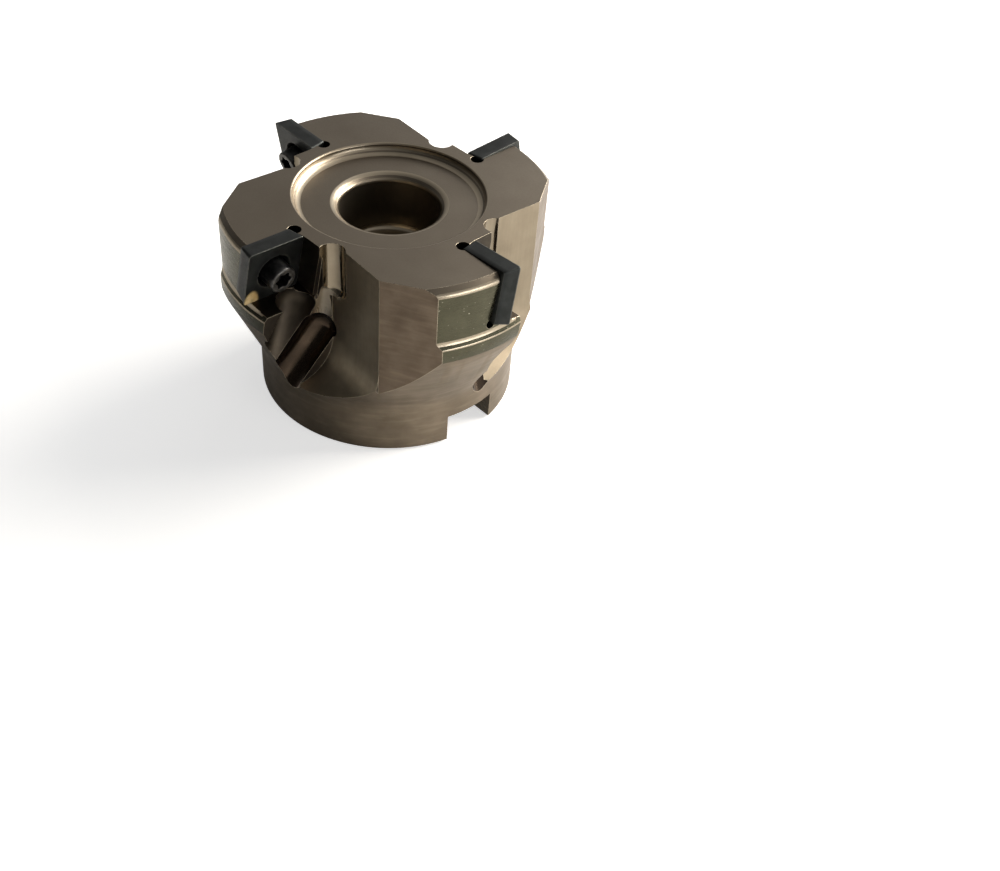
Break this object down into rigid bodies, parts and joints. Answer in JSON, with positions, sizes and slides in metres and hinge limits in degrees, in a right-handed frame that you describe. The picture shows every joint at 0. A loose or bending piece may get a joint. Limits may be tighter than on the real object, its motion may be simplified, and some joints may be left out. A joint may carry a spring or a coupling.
{
  "type": "indexable shell milling cutter",
  "caption": "Shell-type milling cutter with square indexable inserts screwed in pockets around its face, chip gullets and a keyed arbor bore.",
  "frame": {"origin": "centre of the back face that seats on the arbor shoulder, on the cutter axis", "axes": "+Z along the cutter axis towards the cutting face, +X along the drive key slot"},
  "size_m": [0.0628, 0.0628, 0.04],
  "materials": {
    "cutter_body": "satin nickel plate",
    "insert": "matte dark hard coating",
    "insert_screw": "blackened"
  },
  "bodies": {
    "root": {"cutter_body": "cutter_body", "insert_1": "insert", "insert_2": "insert", "insert_3": "insert", "insert_4": "insert", "insert_screw_1": "insert_screw", "insert_screw_2": "insert_screw", "insert_screw_3": "insert_screw", "insert_screw_4": "insert_screw"}
  },
  "joints": []
}
